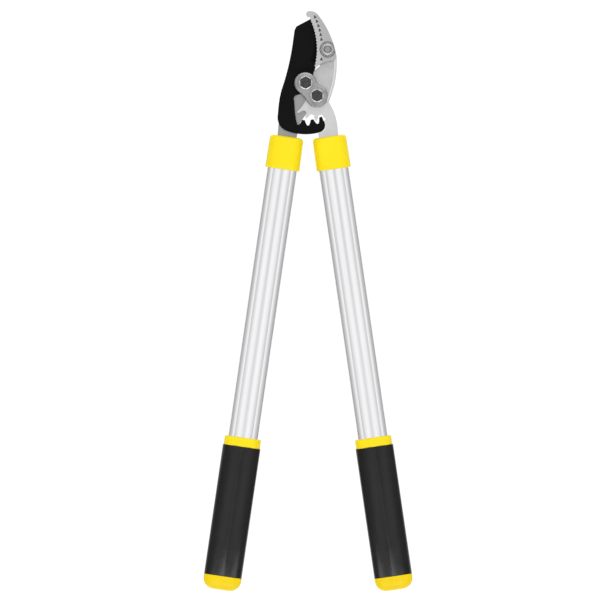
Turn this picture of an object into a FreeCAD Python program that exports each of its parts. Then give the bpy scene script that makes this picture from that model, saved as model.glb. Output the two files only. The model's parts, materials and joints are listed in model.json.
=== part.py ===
import FreeCAD, Part
import os
from math import acos, asin, atan2, cos, degrees, pi, radians, sin, tan

V = FreeCAD.Vector
UP = V(0, 0, 1)

# Long-handled shears lying flat, front up. The frame's origin is on the ground under the middle of
# the tool, +Y runs to the hook's beak and +Z is up. The head is laid out from the blade's pivot.

# ---- head: pivots and gear pair ----
blade_pivot = V(-2.9, 264.3, 0)
module = 3.5
ring_teeth = 27
pinion_teeth = 15
pressure_angle = radians(20)
backlash = 1.4
centre_distance = module * (ring_teeth - pinion_teeth) / 2
centre_line_angle = 41.3            # from straight down, towards the right handle
ring_tip_r, ring_root_r = 45.2, 51.8
pinion_tip_r, pinion_root_r = 30.4, 23.8
tip_rounding = 0.4
last_ring_tooth = 23.3              # angle from straight down of the tooth at the tail's end
mesh_bias = 0.7                     # degrees that the pinion is turned within the backlash when closed
arm_pivot = V(centre_distance * sin(radians(centre_line_angle)),
              -centre_distance * cos(radians(centre_line_angle)), 0)

# ---- head: stack of plates, from the back ----
handle_axis_z = 16.5
jaw_z, jaw_thick = 11.6, 4.5
washer_thick = 0.5
running_gap = 0.15
blade_thick = 4.0
blade_z = jaw_z + jaw_thick + washer_thick + running_gap
link_z = blade_z + blade_thick + running_gap + washer_thick
link_thick, pocket_depth = 6.4, 4.6
boss_height = 0.6
lobe_round, boss_round = 1.6, 0.45
lobe_shift = V(-0.3, -0.7, 0)       # the link's outline sits slightly off its two bolts
seat_ring_r, seat_ring_depth = 8.1, 0.4
hook_plate_thick = 4.0
jaw_corner_r, blade_corner_r, notch_corner_r = 5.0, 3.0, 0.8

# ---- head: fasteners and bearings (M8) ----
bolt_r, bolt_clearance = 4.0, 0.1
hex_flats, bolt_head = 13.0, 5.0
lock_nut, hook_nut_height = 7.0, 4.5
bushing_r, bearing_fit = 6.0, 0.05
thrust_washer_r, rear_washer_r, rear_washer_thick = 9.5, 8.5, 1.6
link_lobe_r, link_boss_r = 13.3, 9.5
waist_r, flank_r = 6.0, 37.0        # concave blends on the link's two sides
eye_r = 10.2                        # plate left round each pivot in the blade's layer
thread_gap = 0.02

# ---- hook ----
serration_centre, serration_r = V(-71.6, 40.6, 0), 84.7
serration_pitch, serration_depth = 3.8, 0.9
mark_depth, mark_inset = 2.0, 6.8     # triangular marks pressed into the hook's face
jaw_bevel_drop, jaw_bevel_width = 0.65, 3.0
hook_bolt_at = V(26.6, 40.1, 0)
hook_washer_r, hook_washer_thick = 8.9, 1.2

# ---- blade ----
edge_centre, edge_r, bevel_width = V(-45.5, 52.0, 0), 64.9, 9.0
tail_r = 62.5                       # outside of the toothed tail, from the blade's pivot
nose_r, nose_angle, stop_gap = 9.0, 16.0, 0.45

# ---- handles: distances run from the point where both handles' axes cross ----
splay = 8.3
crossing = V(0, 374.0, handle_axis_z)
collar_top, collar_length = 176.7, 40.0
collar_head, collar_foot = (40.9, 26.0, 11.5), (41.9, 27.6, 12.3)   # width, height, corner radius
collar_head_round, collar_foot_round = 4.4, 1.2
tube_top, tube_end = 186.5, 700.0
tang_width, tang_end = 22.0, 245.0
tube_height, tube_wall = 22.0, 1.8
grip_top, ring_length, sleeve_end, grip_end = 545.0, 11.0, 714.5, 731.2
grip_scale_at_end, dome_length = 0.42, 13.0
ring_size, core_size = (44.2, 30.6, 10.5), (40.4, 26.5, 11.0)        # width, height, corner radius
plug_size, plug_length = (29.0, 15.0, 6.0), 34.0
ring_round = 1.6
tang_rivets = (196.0, 209.0)
rivet_r, rivet_head_r, rivet_head = 2.4, 4.0, 1.1

# One broad face of a handle's section: half the width, the middle's height, the flute's middle and end as
# (place, drop), the slopes at which the rounded shoulder starts and ends, and the side's corner radius.
tube_face = {"half": 18.6, "crest": 10.55, "flute": (4.84, 0.72), "edge": (11.0, -0.45),
             "slopes": (0, 30), "corner_r": 4.2}
grip_front = {"half": 22.9, "crest": 15.4, "flute": (3.9, -0.829), "edge": (7.8, -1.1),
              "slopes": (0, 40), "corner_r": 5.6}
grip_back = {"half": 22.9, "crest": 16.5, "flute": (4.25, 0.0), "edge": (8.5, 0.0),
             "slopes": (0, 40), "corner_r": 5.6}


# ---------------------------------------------------------------- helpers

def profile(start, *steps):
    """Face inside a closed outline: a step is a point for a straight run, or (through, end) for an arc,
    which is straight too where its three points are in line."""
    edges = []
    here = first = V(*start)
    for step in steps:
        curved = isinstance(step[0], tuple)
        through, end = (V(*step[0]), V(*step[1])) if curved else (here, V(*step))
        if (through - here).cross(end - here).Length > 1e-6:
            edges.append(Part.Arc(here, through, end).toShape())
        else:
            edges.append(Part.LineSegment(here, end).toShape())
        here = end
    if here.distanceToPoint(first) > 1e-6:
        edges.append(Part.LineSegment(here, first).toShape())
    return Part.Face(Part.Wire(edges))


def plate(face, z, thick):
    solid = face.extrude(V(0, 0, thick))
    solid.translate(V(0, 0, z))
    return solid


def below(centre, r, angle):
    """Point at radius r from a pivot, angle in degrees from straight down, positive to the right."""
    a = radians(angle)
    return (centre.x + r * sin(a), centre.y - r * cos(a), 0)


def around(centre, r, angle):
    """Point at radius r from a centre, angle in degrees from +X."""
    a = radians(angle)
    return (centre.x + r * cos(a), centre.y + r * sin(a), 0)


def disc(centre, r, z, thick):
    return Part.makeCylinder(r, thick, V(centre.x, centre.y, z))


def hexagon(centre, flats, z, thick):
    """Hexagonal prism with a corner pointing up the tool."""
    corner_r = flats / 2 / cos(pi / 6)
    corners = [around(centre, corner_r, 30 + 60 * i) for i in range(6)]
    return plate(profile(*corners), z, thick)


def hex_head(centre, flats, z, thick, chamfered_top):
    """Hexagon whose corners are turned off by a cone at one end."""
    cone_r = flats * 0.48
    low_r = cone_r + thick * 1.8
    cone = Part.makeCone(low_r, cone_r, thick, V(centre.x, centre.y, z))
    if not chamfered_top:
        cone = Part.makeCone(cone_r, low_r, thick, V(centre.x, centre.y, z))
    return hexagon(centre, flats, z, thick).common(cone)


def round_upright(solid, radius, *corners):
    """Round the upright edges that stand at the given points."""
    chosen = []
    for edge in solid.Edges:
        a, b = edge.Vertexes[0].Point, edge.Vertexes[-1].Point
        if abs(a.z - b.z) < 1 or V(a.x - b.x, a.y - b.y, 0).Length > 0.01:
            continue
        if any(V(a.x - x, a.y - y, 0).Length < 0.3 for x, y in corners):
            chosen.append(edge)
    return solid.makeFillet(radius, chosen)


def middle_of(edge):
    return (edge.FirstParameter + edge.LastParameter) / 2


def edges_at(solid, z):
    return [e for e in solid.Edges if all(abs(v.Z - z) < 1e-4 for v in e.Vertexes)
            and abs(e.BoundBox.ZMax - e.BoundBox.ZMin) < 1e-3]


# ---------------------------------------------------------------- gear teeth

def involute(base_r, r):
    if r <= base_r:
        return 0.0
    a = acos(base_r / r)
    return tan(a) - a


def tooth_half_angle(teeth, r, internal):
    """Half the angle that a tooth fills at radius r, in degrees."""
    pitch_r = module * teeth / 2
    base_r = pitch_r * cos(pressure_angle)
    half_thick = (pi * module / 2 - backlash / 2) / 2
    growth = involute(base_r, pitch_r) - involute(base_r, r)
    return degrees(half_thick / pitch_r + (-growth if internal else growth))


def flank(centre, teeth, tooth_angle, side, radii, internal):
    """Three points up or down one flank of a tooth."""
    return [below(centre, r, tooth_angle + side * tooth_half_angle(teeth, r, internal)) for r in radii]


# ---------------------------------------------------------------- head: fixed side

hook_top = (3.9, 86.6, 0)
hook_shoulder = (14.5, 82.7, 0)
outer_upper, outer_corner = (29.1, 59.0, 0), (37.5, 31.1, 0)
outer_lower, outer_end = (36.0, 3.3, 0), (27.9, -23.4, 0)
throat = around(serration_centre, serration_r, -13.6)


def jaw_plate():
    inner_r = serration_r + 1.0
    tang_right, tang_left = tang_point(-1, tang_end, 1), tang_point(-1, tang_end, -1)
    face = profile(
        (9.3, 81.0, 0), (13.4, 82.0, 0),
        (outer_upper, outer_corner), (outer_lower, outer_end),
        ((24.5, -25.0, 0), below(arm_pivot, link_lobe_r, 0)),
        (-0.2, -39.0, 0), (-6.6, -48.4, 0), (-9.5, -60.0, 0),
        tang_point(-1, tube_top - 2, 1), tang_right, tang_left, tang_point(-1, tube_top - 2, -1),
        (-32.9, -51.2, 0), (-29.0, -25.0, 0), (-22.0, -5.0, 0),
        ((-10.8, 10.2, 0), (4.0, 16.0, 0)),
        around(serration_centre, inner_r, -12.0),
        (around(serration_centre, inner_r, 8.0), (9.3, 81.0, 0)))
    solid = plate(face, jaw_z, jaw_thick)
    solid = round_upright(solid, jaw_corner_r, (-0.2, -39.0), (-6.6, -48.4), (-32.9, -51.2), (-22.0, -5.0))
    outer = [e for e in edges_at(solid, jaw_z + jaw_thick)
             if V(*outer_lower).distanceToPoint(e.valueAt(middle_of(e)) - UP * (jaw_z + jaw_thick)) < 3]
    solid = solid.makeChamfer(jaw_bevel_width, jaw_bevel_drop, outer)
    sap_groove = plate(profile((9.0, 14.4, 0), (12.0, 15.9, 0), (16.2, 19.4, 0),
                               ((17.3, 21.2, 0), (15.8, 21.8, 0)), (11.8, 18.9, 0), (9.0, 18.0, 0)),
                       jaw_z, jaw_thick)
    holes = [disc(p, bolt_r + bolt_clearance, jaw_z, jaw_thick) for p in (V(), arm_pivot, hook_bolt_at)]
    holes += rivet_bores(-1, jaw_z, jaw_thick)
    return solid.cut([sap_groove] + holes)


def hook_spacer():
    thick = link_z - jaw_z - jaw_thick
    face = profile(
        (18.0, 76.8, 0), ((29.4, 54.6, 0), (36.0, 33.4, 0)), (35.4, 29.2, 0), (23.0, 25.8, 0),
        ((22.0, 38.0, 0), (21.6, 55.0, 0)), (16.6, 74.6, 0))
    solid = plate(face, jaw_z + jaw_thick, thick)
    return solid.cut(disc(hook_bolt_at, bolt_r + bolt_clearance, 0, 40))


def serrated_edge(start_angle, end_angle):
    """Scallops cut into the hook's gripping edge, from the throat to the beak."""
    count = round(radians(end_angle - start_angle) * serration_r / serration_pitch)
    steps = []
    for i in range(count):
        middle = start_angle + (end_angle - start_angle) * (i + 0.5) / count
        end = start_angle + (end_angle - start_angle) * (i + 1) / count
        steps.append((around(serration_centre, serration_r + serration_depth, middle),
                      around(serration_centre, serration_r, end)))
    return steps


def pressed_mark(angle):
    """Small triangular hollow, point towards the beak."""
    centre = V(*around(serration_centre, serration_r + mark_inset, angle))
    along = angle + 90
    point, foot, spread = 3.0, 2.6, 133
    corners = [around(centre, point, along), around(centre, foot, along + spread),
               around(centre, foot, along - spread)]
    solid = plate(profile(*corners), link_z + hook_plate_thick - mark_depth, mark_depth)
    return solid.makeFillet(0.35, [e for e in solid.Edges if abs(e.tangentAt(0).z) > 0.9])


def hook_plate():
    beak_end_angle = 25.3
    face = profile(
        throat, *serrated_edge(-13.6, beak_end_angle),
        (6.0, 80.0, 0), ((5.0, 79.3, 0), (3.6, 79.0, 0)), ((0.6, 82.9, 0), hook_top),
        ((9.6, 85.9, 0), hook_shoulder), (outer_upper, (36.8, 34.1, 0)),
        ((36.7, 28.8, 0), (33.0, 26.8, 0)), ((24.5, 25.1, 0), (16.9, 21.9, 0)), (12.0, 18.4, 0))
    solid = plate(face, link_z, hook_plate_thick)
    marks = [pressed_mark(25.2 - 3.55 * i) for i in range(6)] + [pressed_mark(-7.6)]
    coined_r, coined_depth = serration_r + 8.4, 0.4
    coin = plate(profile(around(serration_centre, coined_r, -14.0),
                         (around(serration_centre, coined_r, 4.0), around(serration_centre, coined_r, 24.0)),
                         (60.0, 90.0, 0), (60.0, 0.0, 0)), link_z + hook_plate_thick - coined_depth, 1.0)
    coin = coin.cut(disc(hook_bolt_at, hook_washer_r + 0.8, 0, 40))
    return solid.cut(marks + [coin, disc(hook_bolt_at, bolt_r + bolt_clearance, 0, 40)])


def hook_bolt():
    shank = link_z + hook_plate_thick + hook_washer_thick + hook_nut_height + 0.8 - jaw_z
    pin = disc(hook_bolt_at, bolt_r, jaw_z, shank)
    pin = pin.makeChamfer(0.7, edges_at(pin, jaw_z + shank))
    return pin.fuse(hex_head(hook_bolt_at, hex_flats, jaw_z - bolt_head, bolt_head, False)).removeSplitter()


def hook_washer():
    z = link_z + hook_plate_thick
    ring = disc(hook_bolt_at, hook_washer_r, z, hook_washer_thick)
    ring = ring.makeChamfer(0.4, edges_at(ring, z + hook_washer_thick))
    return ring.cut(disc(hook_bolt_at, bolt_r + bolt_clearance, z, hook_washer_thick))


def nut(centre, z, height, chamfered_top):
    body = hex_head(centre, hex_flats, z, height, chamfered_top)
    mouth = countersink(centre, bolt_r, bolt_r + 1.4, z + height, 0.7)
    return body.cut([disc(centre, bolt_r + thread_gap, z, height), mouth])


def link_plate():
    """Figure of eight with a raised boss round each bolt."""
    shoulder = link_thick - boss_height
    lobes = disc(V(), link_lobe_r, link_z, shoulder).fuse(disc(arm_pivot, link_lobe_r, link_z, shoulder))
    solid = lobes.fuse([link_side(1, waist_r), link_side(-1, flank_r)]).removeSplitter()
    solid = solid.makeFillet(lobe_round, edges_at(solid, link_z + shoulder))
    solid.translate(lobe_shift)
    top = link_z + link_thick
    bosses = []
    for pivot in (V(), arm_pivot):
        boss = disc(pivot, link_boss_r, link_z + 1, link_thick - 1)
        bosses.append(boss.makeFillet(boss_round, edges_at(boss, top)))
    solid = solid.fuse(bosses).removeSplitter()
    pocket_flats = hex_flats + 0.2
    for pivot in (V(), arm_pivot):
        solid = solid.cut([hexagon(pivot, pocket_flats, top - pocket_depth, pocket_depth),
                           countersink(pivot, pocket_flats / 2, seat_ring_r, top, seat_ring_depth),
                           disc(pivot, bolt_r + bolt_clearance, link_z, link_thick)])
    return solid


def link_side(side, blend_r):
    """Fill between the link's lobes on one side, bounded by an arc that touches both."""
    along = degrees(atan2(arm_pivot.y, arm_pivot.x))
    middle = arm_pivot * 0.5
    reach = ((link_lobe_r + blend_r) ** 2 - (centre_distance / 2) ** 2) ** 0.5
    blend = V(*around(middle, reach, along + side * 90))
    touch_a = toward(V(), blend, link_lobe_r)
    touch_b = toward(arm_pivot, blend, link_lobe_r)
    face = profile((0, 0, 0), touch_a, (toward(blend, middle, blend_r), touch_b), tuple(arm_pivot))
    return plate(face, link_z, link_thick - boss_height)


def toward(start, target, distance):
    """Point at a distance from start on the way to target."""
    step = V(target.x - start.x, target.y - start.y, 0)
    step.normalize()
    return tuple(V(start.x, start.y, 0) + step * distance)


def countersink(centre, low_r, high_r, top, depth):
    """Cone that opens a hole's mouth, a little past the face."""
    over = 0.1
    steeper = (high_r - low_r) / depth * over
    return Part.makeCone(low_r, high_r + steeper, depth + over, V(centre.x, centre.y, top - depth))


# ---------------------------------------------------------------- head: pivots

def pivot_bolt(centre):
    seat = link_z + link_thick - pocket_depth
    tip = jaw_z - rear_washer_thick - lock_nut - 1.5
    pin = disc(centre, bolt_r, tip, seat - tip)
    pin = pin.makeChamfer(0.7, edges_at(pin, tip))
    return pin.fuse(hex_head(centre, hex_flats, seat, bolt_head, True)).removeSplitter()


def bushing(centre):
    low = jaw_z + jaw_thick
    height = link_z - low
    return disc(centre, bushing_r, low, height).cut(disc(centre, bolt_r + bolt_clearance, low, height))


def thrust_washers(centre):
    rings = []
    for z in (jaw_z + jaw_thick, link_z - washer_thick):
        rings.append(disc(centre, thrust_washer_r, z, washer_thick)
                     .cut(disc(centre, bushing_r + bearing_fit, z, washer_thick)))
    return Part.makeCompound(rings)


def rear_washer(centre):
    z = jaw_z - rear_washer_thick
    return disc(centre, rear_washer_r, z, rear_washer_thick).cut(
        disc(centre, bolt_r + bolt_clearance, z, rear_washer_thick))


def lock_nut_at(centre):
    """Hexagon nut with the round collar that holds its nylon ring."""
    z = jaw_z - rear_washer_thick - lock_nut
    collar_height = 2.2
    body = hex_head(centre, hex_flats, z + collar_height, lock_nut - collar_height, False)
    collar = disc(centre, hex_flats / 2 - 0.6, z, collar_height)
    collar = collar.makeFillet(0.8, edges_at(collar, z))
    return body.fuse(collar).removeSplitter().cut(disc(centre, bolt_r + thread_gap, z, lock_nut))


# ---------------------------------------------------------------- head: moving plates

def tail_nose():
    return V(*below(V(), tail_r - nose_r, nose_angle))


def cutting_blade():
    pitch = 360 / ring_teeth
    radii_in = (ring_root_r, (ring_root_r + ring_tip_r) / 2, ring_tip_r + tip_rounding)
    radii_out = radii_in[::-1]
    nose = tail_nose()
    tail_notch = below(V(), ring_root_r, -11.2)
    teeth = [last_ring_tooth - 2 * pitch, last_ring_tooth - pitch, last_ring_tooth]
    steps = []
    for angle in teeth:
        root, middle, tip = flank(V(), ring_teeth, angle, -1, radii_in, True)
        steps += [root, (middle, tip)]
        tip, middle, root = flank(V(), ring_teeth, angle, 1, radii_out, True)
        steps.append((below(V(), ring_tip_r, angle), tip))
        if angle != teeth[-1]:
            steps.append((middle, root))
    face = profile(
        (12.7, 80.8, 0), (-11.3, 68.0, 0), (-13.5, 63.4, 0), (-16.1, 44.4, 0),
        ((-20.9, 19.8, 0), (-29.2, -8.8, 0)), ((-31.5, -19.0, 0), (-33.3, -34.0, 0)), (-34.0, -41.0, 0),
        ((-31.4, -51.4, 0), (-21.5, -58.7, 0)), (below(V(), tail_r, -4.0), below(V(), tail_r, nose_angle)),
        (around(nose, nose_r, -20.0), around(nose, nose_r, 42.0)),
        *list(reversed_run(steps)),
        tail_notch, (-11.3, -46.6, 0), (-12.8, -37.0, 0), (-13.9, -22.0, 0),
        ((-13.2, -16.4, 0), (-9.6, -14.6, 0)), (-5.0, -13.2, 0),
        around(V(), eye_r, -95.0), (around(V(), eye_r, -38.0), around(V(), eye_r, 20.0)),
        (9.0, 10.5, 0), (9.9, 13.2, 0), ((11.5, 16.6, 0), (12.6, 20.6, 0)),
        (around(edge_centre, edge_r, 0.0), (12.7, 80.8, 0)))
    solid = plate(face, blade_z, blade_thick)
    solid = round_upright(solid, blade_corner_r, (-11.3, 68.0), (-13.5, 63.4))
    solid = round_upright(solid, notch_corner_r, tail_notch[:2])
    return solid.cut([edge_bevel(), disc(V(), bushing_r + bearing_fit, blade_z, blade_thick)])


def reversed_run(steps):
    """The same outline steps walked the other way round."""
    points = [s[1] if isinstance(s[0], tuple) else s for s in steps]
    run = [points[-1]]
    for i in range(len(steps) - 1, 0, -1):
        step = steps[i]
        run.append((step[0], points[i - 1]) if isinstance(step[0], tuple) else points[i - 1])
    return run


def edge_bevel():
    """Ground cone that thins the blade to its cutting edge from the front face."""
    land = 0.5
    top = blade_z + blade_thick
    x = edge_centre.x
    section = Part.Face(Part.makePolygon([
        V(x + edge_r - bevel_width, edge_centre.y, top + 0.01), V(x + edge_r, edge_centre.y, blade_z + land),
        V(x + edge_r + 6, edge_centre.y, blade_z + land), V(x + edge_r + 6, edge_centre.y, top + 0.01),
        V(x + edge_r - bevel_width, edge_centre.y, top + 0.01)]))
    section.rotate(edge_centre, UP, -26.0)
    return section.revolve(edge_centre, UP, 62.0)


def drive_arm():
    pitch = 360 / pinion_teeth
    ratio = ring_teeth / pinion_teeth
    space = centre_line_angle + (last_ring_tooth - centre_line_angle) * ratio + mesh_bias
    teeth = [space - 1.5 * pitch, space - 0.5 * pitch]
    radii_out = (pinion_root_r, (pinion_root_r + pinion_tip_r) / 2, pinion_tip_r - tip_rounding)
    radii_in = radii_out[::-1]
    nose = tail_nose()
    clear_r = nose_r + stop_gap
    steps = []
    for angle in teeth:
        root, middle, tip = flank(arm_pivot, pinion_teeth, angle, -1, radii_out, False)
        steps += [root, (middle, tip)]
        tip, middle, root = flank(arm_pivot, pinion_teeth, angle, 1, radii_in, False)
        steps += [(below(arm_pivot, pinion_tip_r, angle), tip), (middle, root)]
    root, middle, tip = flank(arm_pivot, pinion_teeth, space + 0.5 * pitch, -1, radii_out, False)
    steps += [root, (middle, tip)]
    face = profile(
        (1.0, -19.6, 0), ((-4.4, -28.8, 0), (-10.6, -35.5, 0)), (-10.6, -36.3, 0), (-7.2, -36.3, 0),
        ((-5.4, -34.7, 0), (-3.4, -33.8, 0)), ((-1.2, -34.0, 0), (0.4, -35.2, 0)), *steps,
        around(nose, clear_r, 32.0), (around(nose, clear_r, -20.0), around(nose, clear_r, -74.0)),
        (15.4, -61.0, 0), (16.0, -66.6, 0), tang_point(1, tube_top - 2, -1), tang_point(1, tang_end, -1),
        tang_point(1, tang_end, 1), tang_point(1, tube_top - 2, 1), (38.7, -54.0, 0),
        ((35.2, -37.9, 0), outer_end), around(arm_pivot, eye_r, -18.0),
        (around(arm_pivot, eye_r, 70.0), around(arm_pivot, eye_r, 150.0)))
    solid = plate(face, blade_z, blade_thick)
    holes = [disc(arm_pivot, bushing_r + bearing_fit, blade_z, blade_thick)]
    return solid.cut(holes + rivet_bores(1, blade_z, blade_thick))


# ---------------------------------------------------------------- handles
# A handle is drawn straight, running down -Y from the crossing point, and then swung out by the splay.

def swing(shape, side):
    shape.rotate(V(), UP, side * splay)
    shape.translate(crossing)
    return shape


def tang_point(side, along, edge):
    """Corner of a tang, in the head's own frame."""
    point = FreeCAD.Rotation(UP, side * splay).multVec(V(edge * tang_width / 2, -along, 0))
    point = point + V(crossing.x, crossing.y, 0) - blade_pivot
    return (point.x, point.y, 0)


def rivet_bores(side, z, thick):
    """Rivet holes through a tang, in the head's own frame."""
    bores = []
    for along in tang_rivets:
        a, b = tang_point(side, along, -1), tang_point(side, along, 1)
        bores.append(disc((V(*a) + V(*b)) * 0.5, rivet_r + 0.1, z, thick))
    return bores


def rounded_oblong(width, height, corner, along):
    """Rounded rectangle across the handle."""
    x, z = width / 2, height / 2
    k = corner * (1 - cos(pi / 4))
    y = -along
    return profile(
        (x, y, z - corner), ((x - k, y, z - k), (x - corner, y, z)),
        (corner - x, y, z), ((k - x, y, z - k), (-x, y, z - corner)),
        (-x, y, corner - z), ((k - x, y, k - z), (corner - x, y, -z)),
        (x - corner, y, -z), ((x - k, y, k - z), (x, y, corner - z)))


def face_run(face, grow):
    """Points (x, z) from the middle of a broad face round to the side, every arc grown outwards alike."""
    start, end = radians(face["slopes"][0]), radians(face["slopes"][1])
    corner_r = face["corner_r"]
    edge_x, edge_drop = face["edge"]
    shoulder_r = (face["half"] - corner_r * (1 - sin(end)) - edge_x) / (sin(end) - sin(start))
    shoulder_x = edge_x - shoulder_r * sin(start)
    shoulder_z = face["crest"] - edge_drop - shoulder_r * cos(start)
    corner_x = shoulder_x + (shoulder_r - corner_r) * sin(end)
    corner_z = shoulder_z + (shoulder_r - corner_r) * cos(end)

    def shoulder(slope):
        return shoulder_x + (shoulder_r + grow) * sin(slope), shoulder_z + (shoulder_r + grow) * cos(slope)

    def corner(slope):
        return corner_x + (corner_r + grow) * sin(slope), corner_z + (corner_r + grow) * cos(slope)

    crest = face["crest"] + grow
    flute_x, flute_drop = face["flute"]
    return [(0, crest), (flute_x, crest - flute_drop), shoulder(start), shoulder((start + end) / 2),
            corner(end), corner((end + pi / 2) / 2), corner(pi / 2)]


def handle_outline(front, back, grow, along, scale=1.0):
    """Section across the handle, from its front face and its back face."""
    runs = {1: face_run(front, grow), -1: face_run(back, grow)}

    def quarter(x_side, z_side):
        return [(x_side * x * scale, -along, z_side * z * scale) for x, z in runs[z_side]]

    p, q, r, s = quarter(1, 1), quarter(1, -1), quarter(-1, -1), quarter(-1, 1)
    return profile(
        p[0], (p[1], p[2]), (p[3], p[4]), (p[5], p[6]), q[6], (q[5], q[4]), (q[3], q[2]), (q[1], q[0]),
        (r[1], r[2]), (r[3], r[4]), (r[5], r[6]), s[6], (s[5], s[4]), (s[3], s[2]), (s[1], p[0]))


def tube_outline(grow, along):
    return handle_outline(tube_face, tube_face, grow, along)


def along_handle(face, length):
    return face.extrude(V(0, -length, 0))


def handle_tube(side):
    length = tube_end - tube_top
    solid = along_handle(tube_outline(0, tube_top), length)
    bore = along_handle(tube_outline(-tube_wall, tube_top), length)
    return swing(solid.cut([bore] + straight_rivet_bores()), side)


def straight_rivet_bores():
    return [Part.makeCylinder(rivet_r + 0.1, 60, V(0, -along, -30)) for along in tang_rivets]


def tang_slot(side, width, gap, start, end):
    """Slot for a tang: the left one is the jaw plate's, the right one the arm's."""
    z, thick = (jaw_z, jaw_thick) if side < 0 else (blade_z, blade_thick)
    return Part.makeBox(width, end - start, thick + 2 * gap,
                        V(-width / 2, -end, z - gap - handle_axis_z))


def tang_core(side):
    start, end = tube_top + 1.0, tang_end + 8
    solid = along_handle(tube_outline(-tube_wall - 0.1, start), end - start)
    slot = tang_slot(side, tang_width + 0.2, 0.1, start, tang_end + 0.5)
    return swing(solid.cut([slot] + straight_rivet_bores()), side)


def tang_rivet_set(side):
    """Two rivets through tube, core and tang, with low domed heads."""
    rivets = []
    top = tube_face["crest"]
    for along in tang_rivets:
        pin = Part.makeCylinder(rivet_r, 2 * top, V(0, -along, -top))
        heads = []
        for z, way in ((top, 1), (-top, -1)):
            cap = Part.makeCone(rivet_head_r, rivet_head_r * 0.6, rivet_head, V(0, -along, z), V(0, 0, way))
            heads.append(cap)
        rivets.append(swing(pin.fuse(heads).removeSplitter(), side))
    return Part.makeCompound(rivets)


def collar(side):
    """Closed-topped ferrule over the tube's mouth, slightly wider at its lower end."""
    top = rounded_oblong(*collar_head, collar_top)
    bottom = rounded_oblong(*collar_foot, collar_top + collar_length)
    solid = Part.makeLoft([top.OuterWire, bottom.OuterWire], True, True)
    solid = solid.makeFillet(collar_head_round, rim_at(solid, collar_top))
    solid = solid.makeFillet(collar_foot_round, rim_at(solid, collar_top + collar_length))
    pocket_start = tube_top - 0.5
    pocket = along_handle(tube_outline(0.1, pocket_start), collar_length)
    lane_r, lane_height = rivet_head_r + 0.3, tube_height + 2 * rivet_head + 0.4
    lanes = Part.makeBox(2 * lane_r, collar_length, lane_height,
                         V(-lane_r, -pocket_start - collar_length, -lane_height / 2))
    mouth_width, mouth_shift = (25.6, -0.4) if side > 0 else (tang_width + 2.4, 0.0)
    mouth = tang_slot(side, mouth_width, 0.2, collar_top - 1, pocket_start + 1)
    mouth.translate(V(mouth_shift, 0, 0))
    return swing(solid.cut([pocket, lanes, mouth]), side)


def rim_at(solid, along):
    """Edges that lie across the handle at one place along it."""
    return [e for e in solid.Edges
            if abs(e.BoundBox.YMax + along) < 0.01 and abs(e.BoundBox.YMin + along) < 0.01]


def grip_core(side):
    """Hard sleeve on the tube, with the ring that shows above the soft grip."""
    ring = along_handle(rounded_oblong(*ring_size, grip_top), ring_length)
    ring = ring.makeFillet(ring_round, rim_at(ring, grip_top))
    length = sleeve_end - grip_top
    barrel = along_handle(rounded_oblong(*core_size, grip_top + 1), length - 1)
    bore = along_handle(tube_outline(0.1, grip_top - 1), length + 2)
    return swing(ring.fuse(barrel).removeSplitter().cut(bore), side)


def grip_sleeve(side):
    start = grip_top + ring_length
    length = sleeve_end - start
    outside = along_handle(handle_outline(grip_front, grip_back, 0, start), length).removeSplitter()
    inside = along_handle(rounded_oblong(*core_size, start), length)
    return swing(outside.cut(inside), side)


def end_cap(side):
    """Domed cap with a plug that goes up into the tube."""
    dome_start, sections = grip_end - dome_length, 7
    solid = along_handle(handle_outline(grip_front, grip_back, 0, sleeve_end), dome_start - sleeve_end)
    wires = []
    for i in range(sections):
        turn = pi / 2 * i / (sections - 1)
        scale = 1 - (1 - grip_scale_at_end) * (1 - cos(turn))
        along = dome_start + dome_length * sin(turn)
        wires.append(handle_outline(grip_front, grip_back, 0, along, scale).OuterWire)
    dome = Part.makeLoft(wires, True, False)
    plug = along_handle(rounded_oblong(*plug_size, sleeve_end - plug_length), plug_length)
    return swing(solid.fuse([dome, plug]).removeSplitter(), side)


# ---------------------------------------------------------------- build

def build():
    head = {
        "jaw_plate": jaw_plate(), "hook_spacer": hook_spacer(), "hook_plate": hook_plate(),
        "hook_bolt": hook_bolt(), "hook_washer": hook_washer(),
        "hook_nut": nut(hook_bolt_at, link_z + hook_plate_thick + hook_washer_thick, hook_nut_height, True),
        "link_plate": link_plate(), "cutting_blade": cutting_blade(), "drive_arm": drive_arm(),
    }
    for name, centre in (("blade", V()), ("arm", arm_pivot)):
        head[name + "_pivot_bolt"] = pivot_bolt(centre)
        head[name + "_pivot_bushing"] = bushing(centre)
        head[name + "_thrust_washers"] = thrust_washers(centre)
        head[name + "_rear_washer"] = rear_washer(centre)
        head[name + "_lock_nut"] = lock_nut_at(centre)
    for shape in head.values():
        shape.translate(blade_pivot)
    nodes = dict(head)
    for name, side in (("left", -1), ("right", 1)):
        nodes[name + "_collar"] = collar(side)
        nodes[name + "_tube"] = handle_tube(side)
        nodes[name + "_tang_core"] = tang_core(side)
        nodes[name + "_tang_rivets"] = tang_rivet_set(side)
        nodes[name + "_grip_core"] = grip_core(side)
        nodes[name + "_grip_sleeve"] = grip_sleeve(side)
        nodes[name + "_end_cap"] = end_cap(side)
    return nodes


os.makedirs("parts", exist_ok=True)
for node, shape in build().items():
    shape.exportStep("parts/" + node + ".step")
    print(node, "valid" if shape.isValid() else "INVALID", len(shape.Solids), round(shape.Volume))
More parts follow.
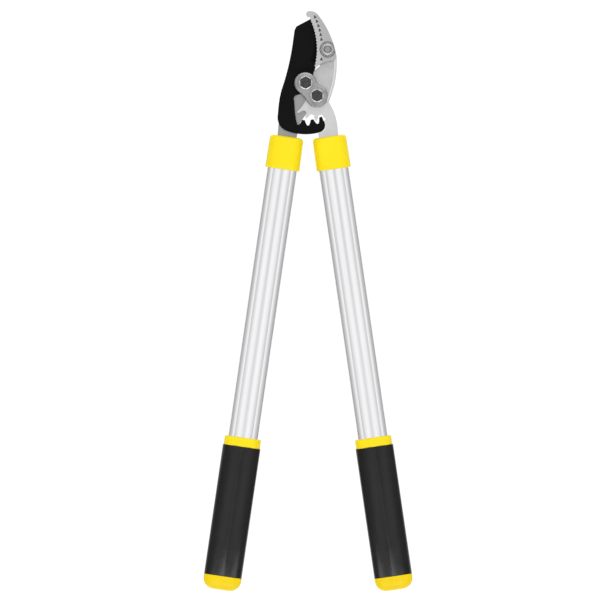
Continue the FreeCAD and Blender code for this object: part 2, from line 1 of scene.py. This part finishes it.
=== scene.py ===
import bpy, json, math
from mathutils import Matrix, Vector


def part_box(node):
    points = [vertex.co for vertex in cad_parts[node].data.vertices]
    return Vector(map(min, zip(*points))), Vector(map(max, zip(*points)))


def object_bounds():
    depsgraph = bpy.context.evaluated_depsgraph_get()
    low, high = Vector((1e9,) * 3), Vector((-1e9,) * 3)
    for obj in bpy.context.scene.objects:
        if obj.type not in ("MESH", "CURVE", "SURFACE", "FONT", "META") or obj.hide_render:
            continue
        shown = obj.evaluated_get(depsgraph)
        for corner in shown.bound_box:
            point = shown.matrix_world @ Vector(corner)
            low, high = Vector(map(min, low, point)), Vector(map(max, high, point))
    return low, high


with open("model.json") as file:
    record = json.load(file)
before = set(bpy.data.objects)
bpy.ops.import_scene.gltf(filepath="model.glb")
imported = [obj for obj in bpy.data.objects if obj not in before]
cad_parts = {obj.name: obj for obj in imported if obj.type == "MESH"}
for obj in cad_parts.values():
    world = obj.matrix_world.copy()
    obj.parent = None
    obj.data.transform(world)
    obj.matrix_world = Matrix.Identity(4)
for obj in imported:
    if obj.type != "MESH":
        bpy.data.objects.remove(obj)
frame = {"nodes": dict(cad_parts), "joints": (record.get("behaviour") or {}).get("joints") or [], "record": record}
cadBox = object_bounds()
nodes = frame["nodes"]
scene = bpy.context.scene
print("frame loaded:", len(nodes), "nodes")

splayAngle = 8.3   # degrees that each handle swings out from the middle line
axisAt = {j["name"]: Vector(j["pos_m"]) for j in frame["joints"]}
bladePivot, armPivot = axisAt["blade_swing"], axisAt["handle_swing"]
hookBolt = bladePivot + Vector((0.0266, 0.0401, 0))
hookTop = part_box("hook_plate")[1].z   # height of the hook's front face


# ---- small node helpers ----

def newMaterial(name):
    mat = bpy.data.materials.new(name)
    mat.use_nodes = True
    tree = mat.node_tree
    tree.nodes.clear()
    out = tree.nodes.new("ShaderNodeOutputMaterial")
    shader = tree.nodes.new("ShaderNodeBsdfPrincipled")
    tree.links.new(shader.outputs["BSDF"], out.inputs["Surface"])
    return mat, tree, shader


def place(tree, turn=0.0, stretch=(1, 1, 1)):
    coords = tree.nodes.new("ShaderNodeTexCoord")
    turned = tree.nodes.new("ShaderNodeMapping")
    turned.vector_type = "POINT"
    turned.inputs["Rotation"].default_value = (0, 0, math.radians(turn))
    tree.links.new(coords.outputs["Object"], turned.inputs["Vector"])
    scaled = tree.nodes.new("ShaderNodeMapping")
    scaled.inputs["Scale"].default_value = stretch
    tree.links.new(turned.outputs["Vector"], scaled.inputs["Vector"])
    return scaled.outputs["Vector"]


def noise(tree, vector, scale, detail=4.0, rough=0.55):
    n = tree.nodes.new("ShaderNodeTexNoise")
    n.inputs["Scale"].default_value = scale
    n.inputs["Detail"].default_value = detail
    n.inputs["Roughness"].default_value = rough
    tree.links.new(vector, n.inputs["Vector"])
    return n.outputs["Fac"]


def spread(tree, value, low, high, fromLow=0.3, fromHigh=0.7):
    m = tree.nodes.new("ShaderNodeMapRange")
    m.inputs["From Min"].default_value = fromLow
    m.inputs["From Max"].default_value = fromHigh
    m.inputs["To Min"].default_value = low
    m.inputs["To Max"].default_value = high
    tree.links.new(value, m.inputs["Value"])
    return m.outputs["Result"]


def mixColour(tree, amount, first, second):
    m = tree.nodes.new("ShaderNodeMix")
    m.data_type = "RGBA"
    tree.links.new(amount, m.inputs["Factor"])
    for socket, value in ((m.inputs[6], first), (m.inputs[7], second)):
        if isinstance(value, tuple):
            socket.default_value = (*value, 1)
        else:
            tree.links.new(value, socket)
    return m.outputs[2]


def distanceFrom(tree, centre):   # metres from an upright line through a point
    coords = tree.nodes.new("ShaderNodeTexCoord")
    flat = tree.nodes.new("ShaderNodeVectorMath")
    flat.operation = "MULTIPLY"
    flat.inputs[1].default_value = (1, 1, 0)
    tree.links.new(coords.outputs["Object"], flat.inputs[0])
    away = tree.nodes.new("ShaderNodeVectorMath")
    away.operation = "DISTANCE"
    away.inputs[1].default_value = (centre[0], centre[1], 0)
    tree.links.new(flat.outputs["Vector"], away.inputs[0])
    return away.outputs["Value"]


def combine(tree, operation, first, second):
    m = tree.nodes.new("ShaderNodeMath")
    m.operation = operation
    for socket, value in zip(m.inputs, (first, second)):
        if isinstance(value, (int, float)):
            socket.default_value = value
        else:
            tree.links.new(value, socket)
    return m.outputs["Value"]


def placeAlong(tree, axis):   # the object coordinate on one axis
    coords = tree.nodes.new("ShaderNodeTexCoord")
    split = tree.nodes.new("ShaderNodeSeparateXYZ")
    tree.links.new(coords.outputs["Object"], split.inputs["Vector"])
    return split.outputs[axis]


def upwardness(tree):   # 1 where the surface faces straight up
    facing = tree.nodes.new("ShaderNodeNewGeometry")
    split = tree.nodes.new("ShaderNodeSeparateXYZ")
    tree.links.new(facing.outputs["True Normal"], split.inputs["Vector"])
    return split.outputs["Z"]


def ringMask(tree, centre, radius, halfWidth):   # 1 on a thin ring round an upright line
    off = combine(tree, "ABSOLUTE", combine(tree, "SUBTRACT", distanceFrom(tree, centre), radius), 0.0)
    return spread(tree, off, 1.0, 0.0, halfWidth * 0.6, halfWidth)


def ramp(tree, value, stops):
    r = tree.nodes.new("ShaderNodeValToRGB")
    r.color_ramp.elements[0].position, r.color_ramp.elements[0].color = stops[0][0], (*stops[0][1], 1)
    r.color_ramp.elements[1].position, r.color_ramp.elements[1].color = stops[-1][0], (*stops[-1][1], 1)
    for pos, colour in stops[1:-1]:
        r.color_ramp.elements.new(pos).color = (*colour, 1)
    tree.links.new(value, r.inputs["Fac"])
    return r.outputs["Color"]


def bump(tree, shader, height, strength, distance):
    b = tree.nodes.new("ShaderNodeBump")
    b.inputs["Strength"].default_value = strength
    b.inputs["Distance"].default_value = distance
    tree.links.new(height, b.inputs["Height"])
    tree.links.new(b.outputs["Normal"], shader.inputs["Normal"])


# ---- finishes ----

def satinSteel(name, colour, grindTurn, roughness=0.34, grain=1.0, mottle=0.88):
    mat, tree, shader = newMaterial(name)
    grind = noise(tree, place(tree, grindTurn, (1, 0.03, 1)), 2600, 3.0)
    cloud = noise(tree, place(tree), 70, 6.0, 0.62)
    dark = tuple(c * mottle for c in colour)
    tree.links.new(ramp(tree, cloud, [(0.32, dark), (0.68, colour)]), shader.inputs["Base Color"])
    tree.links.new(spread(tree, grind, roughness - 0.06, roughness + 0.08), shader.inputs["Roughness"])
    shader.inputs["Metallic"].default_value = 1.0
    bump(tree, shader, grind, 0.10 * grain, 0.0002)
    return mat, tree, shader


def layOver(tree, shader, amount, tint):   # covers the base colour where amount is 1
    under = shader.inputs["Base Color"].links[0].from_socket
    tree.links.new(mixColour(tree, amount, under, tint), shader.inputs["Base Color"])


# the jaw's colours hold painted shade below left of the pivot, a painted highlight for the bevel and painted shade
# for the groove walls
jaw = {"shadeCentre": bladePivot + Vector((-0.022, -0.045, 0)), "shadeReach": (0.030, 0.056),
       "bright": (0.56, 0.56, 0.565), "shadeTone": (0.35, 0.345, 0.35), "bevelHighlight": (0.90, 0.90, 0.90),
       "groove": bladePivot + Vector((0.0135, 0.0185, 0)), "grooveReach": (0.008, 0.009),
       "grooveShade": (0.05, 0.05, 0.05), "grooveShadeTilt": (0.90, 0.96), "bevelFrom": (0.94, 0.96), "bevelTo": (0.985, 0.992)}
# the hook's colours hold painted shade for the recesses and lower edges and a painted shadow round the washer
hook = {"stripCentre": bladePivot + Vector((-0.0716, 0.0406, 0)), "stripReach": (0.0926, 0.0940),
        "strip": (0.54, 0.54, 0.545), "flat": (0.45, 0.45, 0.455), "recessShade": (0.10, 0.10, 0.10),
        "recessShadeDepth": (hookTop - 0.0016, hookTop - 0.0010), "shadowTone": (0.12, 0.12, 0.12),
        "shadowRing": (0.0093, 0.0006), "edgeShadeTop": (bladePivot.y + 0.030, bladePivot.y + 0.036),
        "edgeShadeTilt": (0.93, 0.98)}
# painted shadow ring near the washer's outer edge
washer = {"shadowTone": (0.16, 0.16, 0.16), "shadowRing": (0.0078, 0.0005)}
# painted highlight on the link's bolt seats
seatHighlight = {"reach": (0.0074, 0.0079), "bright": (0.86, 0.86, 0.87)}


def jawSteel():   # painted shade below left of the pivot, a painted highlight on the sloped bevel faces along the outer edge, painted shade on the groove walls
    mat, tree, shader = satinSteel("jawSteel", jaw["bright"], 25, mottle=0.84)
    # painted shade: darker round a point below left of the blade pivot
    shade = spread(tree, distanceFrom(tree, jaw["shadeCentre"]), 1.0, 0.0, *jaw["shadeReach"])
    layOver(tree, shader, shade, jaw["shadeTone"])
    up = upwardness(tree)
    # painted highlight: the sloped bevel faces along the outer edge are painted bright
    bevelSheen = combine(tree, "MULTIPLY", spread(tree, up, 1.0, 0.0, *jaw["bevelTo"]),
                     spread(tree, up, 0.0, 1.0, *jaw["bevelFrom"]))
    layOver(tree, shader, bevelSheen, jaw["bevelHighlight"])
    # painted shade: the sloped walls near the groove are painted near black
    nearGroove = spread(tree, distanceFrom(tree, jaw["groove"]), 1.0, 0.0, *jaw["grooveReach"])
    grooveShade = combine(tree, "MULTIPLY", nearGroove, spread(tree, up, 1.0, 0.0, *jaw["grooveShadeTilt"]))
    layOver(tree, shader, grooveShade, jaw["grooveShade"])
    return mat


def hookSteel():   # painted shade in the pressed marks and on all faces deeper than the front face, a painted shadow ring round the washer, painted shade on the lower sloped edges
    mat, tree, shader = satinSteel("hookSteel", hook["strip"], 70, mottle=0.92)
    shade = spread(tree, distanceFrom(tree, hook["stripCentre"]), 0.0, 1.0, *hook["stripReach"])
    layOver(tree, shader, shade, hook["flat"])
    # painted shade: everything more than 1.6 mm below the hook's front face is painted near black
    layOver(tree, shader, spread(tree, placeAlong(tree, "Z"), 1.0, 0.0, *hook["recessShadeDepth"]), hook["recessShade"])
    # painted shadow: a dark ring on the hook plate round the washer
    layOver(tree, shader, ringMask(tree, hookBolt, *hook["shadowRing"]), hook["shadowTone"])
    # painted shade: sloped faces in the lower part of the hook are painted dark
    low = spread(tree, placeAlong(tree, "Y"), 1.0, 0.0, *hook["edgeShadeTop"])
    edgeShade = combine(tree, "MULTIPLY", low, spread(tree, upwardness(tree), 1.0, 0.0, *hook["edgeShadeTilt"]))
    layOver(tree, shader, edgeShade, hook["shadowTone"])
    return mat


def washerSteel():
    mat, tree, shader = satinSteel("pressedWasher", (0.52, 0.52, 0.525), 70, 0.34, mottle=0.92)
    # painted shadow: a dark ring on the washer near its edge
    layOver(tree, shader, ringMask(tree, hookBolt, *washer["shadowRing"]), washer["shadowTone"])
    return mat


def linkSteel():   # painted highlight: the bolt seats round the two bolts are painted bright
    mat, tree, shader = satinSteel("linkSteel", (0.42, 0.42, 0.425), -40, 0.42, 1.6, 0.66)
    for centre in (bladePivot, armPivot):
        # painted highlight: bright inside the bolt seat round each bolt
        seatGlint = spread(tree, distanceFrom(tree, centre), 1.0, 0.0, *seatHighlight["reach"])
        layOver(tree, shader, seatGlint, seatHighlight["bright"])
    return mat


coating = {"low": (0.0042, 0.0042, 0.0044), "high": (0.0056, 0.0056, 0.0057), "rough": (0.50, 0.66),
           "specular": 0.05}


def blackCoating():
    mat, tree, shader = newMaterial("ptfeBlack")
    grain = noise(tree, place(tree), 1900, 3.0, 0.7)
    cloud = noise(tree, place(tree), 38, 4.0)
    tree.links.new(ramp(tree, cloud, [(0.3, coating["low"]), (0.7, coating["high"])]), shader.inputs["Base Color"])
    tree.links.new(spread(tree, grain, *coating["rough"]), shader.inputs["Roughness"])
    shader.inputs["Specular IOR Level"].default_value = coating["specular"]
    bump(tree, shader, grain, 0.18, 0.0002)
    return mat


plastic = {"rough": (0.34, 0.44), "specular": 0.22}


def yellowPlastic(name, low, high):
    mat, tree, shader = newMaterial(name)
    cloud = noise(tree, place(tree), 26, 3.0)
    peel = noise(tree, place(tree), 700, 2.0)
    tree.links.new(ramp(tree, cloud, [(0.25, low), (0.75, high)]), shader.inputs["Base Color"])
    tree.links.new(spread(tree, peel, *plastic["rough"]), shader.inputs["Roughness"])
    shader.inputs["Specular IOR Level"].default_value = plastic["specular"]
    bump(tree, shader, peel, 0.05, 0.0002)
    return mat


rubber = {"low": (0.004, 0.004, 0.0042), "high": (0.0065, 0.0065, 0.0067), "rough": (0.22, 0.32),
          "specular": 0.36}


def rubberGrip(turn):
    mat, tree, shader = newMaterial("softGrip")
    mottle = noise(tree, place(tree, turn, (1, 0.5, 1)), 160, 5.0, 0.65)
    grain = noise(tree, place(tree), 2400, 3.0, 0.7)
    tree.links.new(ramp(tree, mottle, [(0.3, rubber["low"]), (0.7, rubber["high"])]), shader.inputs["Base Color"])
    tree.links.new(spread(tree, mottle, *rubber["rough"]), shader.inputs["Roughness"])
    shader.inputs["Specular IOR Level"].default_value = rubber["specular"]
    bump(tree, shader, grain, 0.10, 0.0002)
    return mat


aluminium = {"low": (0.82, 0.82, 0.835), "high": (0.90, 0.90, 0.91), "rough": (0.17, 0.23)}


def drawnAluminium(turn):
    mat, tree, shader = newMaterial("drawnAluminium")
    lines = noise(tree, place(tree, turn, (1, 0.004, 1)), 1500, 4.0, 0.6)
    cloud = noise(tree, place(tree, turn, (1, 0.2, 1)), 40, 3.0)
    tree.links.new(ramp(tree, lines, [(0.3, aluminium["low"]), (0.7, aluminium["high"])]),
                   shader.inputs["Base Color"])
    tree.links.new(spread(tree, cloud, *aluminium["rough"]), shader.inputs["Roughness"])
    shader.inputs["Metallic"].default_value = 1.0
    bump(tree, shader, lines, 0.05, 0.0002)
    return mat


oxide = {"low": (0.028, 0.028, 0.028), "high": (0.085, 0.085, 0.085), "rough": (0.34, 0.52), "metallic": 0.7}


def boltBlack():
    mat, tree, shader = newMaterial("oxideBlack")
    stain = noise(tree, place(tree), 420, 5.0, 0.7)
    tree.links.new(ramp(tree, stain, [(0.3, oxide["low"]), (0.7, oxide["high"])]), shader.inputs["Base Color"])
    tree.links.new(spread(tree, stain, *oxide["rough"]), shader.inputs["Roughness"])
    shader.inputs["Metallic"].default_value = oxide["metallic"]
    bump(tree, shader, stain, 0.15, 0.0004)
    return mat


def plainNylon(name, low, high):
    mat, tree, shader = newMaterial(name)
    cloud = noise(tree, place(tree), 120, 4.0)
    tree.links.new(ramp(tree, cloud, [(0.3, low), (0.7, high)]), shader.inputs["Base Color"])
    tree.links.new(spread(tree, cloud, 0.42, 0.55), shader.inputs["Roughness"])
    bump(tree, shader, cloud, 0.08, 0.0003)
    return mat


finishes = {
    "jaw_steel": jawSteel(),
    "hook_steel": hookSteel(),
    "link_steel": linkSteel(),
    "arm_steel": satinSteel("armSteel", (0.65, 0.65, 0.655), 10, 0.38, mottle=0.92)[0],
    "blade_coating": blackCoating(),
    "zinc": satinSteel("zincPlate", (0.70, 0.70, 0.71), 0, 0.26)[0],
    "rivet_steel": satinSteel("rivetSteel", (0.55, 0.55, 0.56), 0, 0.35)[0],
    "black_bolt": boltBlack(),
    "bushing_brass": satinSteel("brassBush", (0.72, 0.50, 0.20), 0, 0.3)[0],
    "washer_nylon": plainNylon("washerNylon", (0.70, 0.69, 0.64), (0.80, 0.79, 0.74)),
    "core_nylon": plainNylon("coreNylon", (0.03, 0.03, 0.03), (0.05, 0.05, 0.05)),
    "yellow_plastic": yellowPlastic("yellowPlastic", (0.92, 0.71, 0.004), (0.96, 0.76, 0.006)),
}
capYellow = yellowPlastic("capYellow", (0.84, 0.60, 0.002), (0.89, 0.65, 0.003))
ownFinish = {
    "left_end_cap": capYellow,
    "right_end_cap": capYellow,
    "hook_bolt": satinSteel("boltEnd", (0.34, 0.34, 0.345), 0, 0.34)[0],
    "hook_washer": washerSteel(),
    "hook_nut": satinSteel("nutSteel", (0.50, 0.50, 0.505), 0, 0.44)[0],
}
slotOf = {s["node"]: s["material_slot"] for s in frame["record"]["subparts"]}
for name, obj in nodes.items():
    side = 1 if name.startswith("right_") else -1
    slot = slotOf[name]
    if slot == "tube_aluminium":
        mat = drawnAluminium(-side * splayAngle)
    elif slot == "black_grip":
        mat = rubberGrip(-side * splayAngle)
    else:
        mat = ownFinish.get(name, finishes[slot])
    obj.data.materials.clear()
    obj.data.materials.append(mat)
print("finishes on the plates, tubes and grips")


# ---- softened edges ----

edgeRound = {
    "jaw_plate": 0.2, "hook_plate": 0.5, "hook_spacer": 0.3, "cutting_blade": 0.3, "drive_arm": 0.35,
    "hook_nut": 0.3, "blade_pivot_bolt": 0.4, "arm_pivot_bolt": 0.4,
    "blade_lock_nut": 0.3, "arm_lock_nut": 0.3, "left_grip_sleeve": 0.8, "right_grip_sleeve": 0.8,
}
seamGap = 0.00001   # metres, closes the mesh along the edges of faces
sharpFrom = 38      # degrees
for name, width in edgeRound.items():
    weld = nodes[name].modifiers.new("closeSeams", "WELD")
    weld.merge_threshold = seamGap
    soften = nodes[name].modifiers.new("softEdge", "BEVEL")
    soften.width = width / 1000
    soften.segments = 2
    soften.limit_method = "ANGLE"
    soften.angle_limit = math.radians(sharpFrom)
    soften.use_clamp_overlap = True
    soften.harden_normals = True
print("edges softened on", len(edgeRound), "nodes")


# ---- studio ----

studio = {
    "floorSize": 14.0, "floorDrop": 0.0005,
    "cameraHeight": 12.0, "fieldWidth": 0.7266, "aim": (-0.0097, 0.0012),
    "sky": [(0.0, 0.30), (0.35, 0.42), (0.64, 0.52), (0.82, 0.66), (0.94, 0.95), (1.0, 1.08)],
    "bankSize": (3.4, 0.9), "bankPower": 32.0, "bankAway": 2.0, "bankUp": 1.7,
    "paper": (0.12, 0.12, 0.12, 1), "paperGlow": 0.96,   # the glow keeps the ground white under the tool
}


def addFloor():
    bpy.ops.object.select_all(action="DESELECT")
    bpy.ops.mesh.primitive_plane_add(size=studio["floorSize"], location=(0, 0, -studio["floorDrop"]))
    floor = bpy.context.object
    floor.name = "studioFloor"
    mat, tree, shader = newMaterial("paperWhite")
    shader.inputs["Base Color"].default_value = studio["paper"]
    shader.inputs["Roughness"].default_value = 0.9
    shader.inputs["Specular IOR Level"].default_value = 0.1
    shader.inputs["Emission Color"].default_value = (1, 1, 1, 1)
    shader.inputs["Emission Strength"].default_value = studio["paperGlow"]
    floor.data.materials.append(mat)


def addCamera():
    data = bpy.data.cameras.new("topCamera")
    cam = bpy.data.objects.new("topCamera", data)
    scene.collection.objects.link(cam)
    data.sensor_width = 36
    data.lens = 36 * studio["cameraHeight"] / studio["fieldWidth"]
    middle = (cadBox[0].z + cadBox[1].z) / 2
    cam.location = (*studio["aim"], middle + studio["cameraHeight"])
    data.clip_end = 50
    scene.camera = cam


def addLight(name, place, aim, size, power):
    data = bpy.data.lights.new(name, "AREA")
    data.shape = "RECTANGLE"
    data.size, data.size_y = size
    data.energy = power
    light = bpy.data.objects.new(name, data)
    scene.collection.objects.link(light)
    light.location = place
    light.rotation_euler = (Vector(aim) - Vector(place)).to_track_quat("-Z", "Y").to_euler()


def addSky():
    world = bpy.data.worlds.new("studioWorld")
    world.use_nodes = True
    tree = world.node_tree
    coords = tree.nodes.new("ShaderNodeTexCoord")
    split = tree.nodes.new("ShaderNodeSeparateXYZ")
    tree.links.new(coords.outputs["Generated"], split.inputs["Vector"])
    shade = ramp(tree, split.outputs["Z"], [(at, (level, level, level)) for at, level in studio["sky"]])
    tree.links.new(shade, tree.nodes["Background"].inputs["Color"])
    scene.world = world


addFloor()
addCamera()
for name, side in (("backBank", 1), ("frontBank", -1)):
    spot = (0, side * studio["bankAway"], studio["bankUp"])
    addLight(name, spot, (0, 0, 0), studio["bankSize"], studio["bankPower"])
addSky()
scene.view_settings.view_transform = "Standard"
print("studio ready")
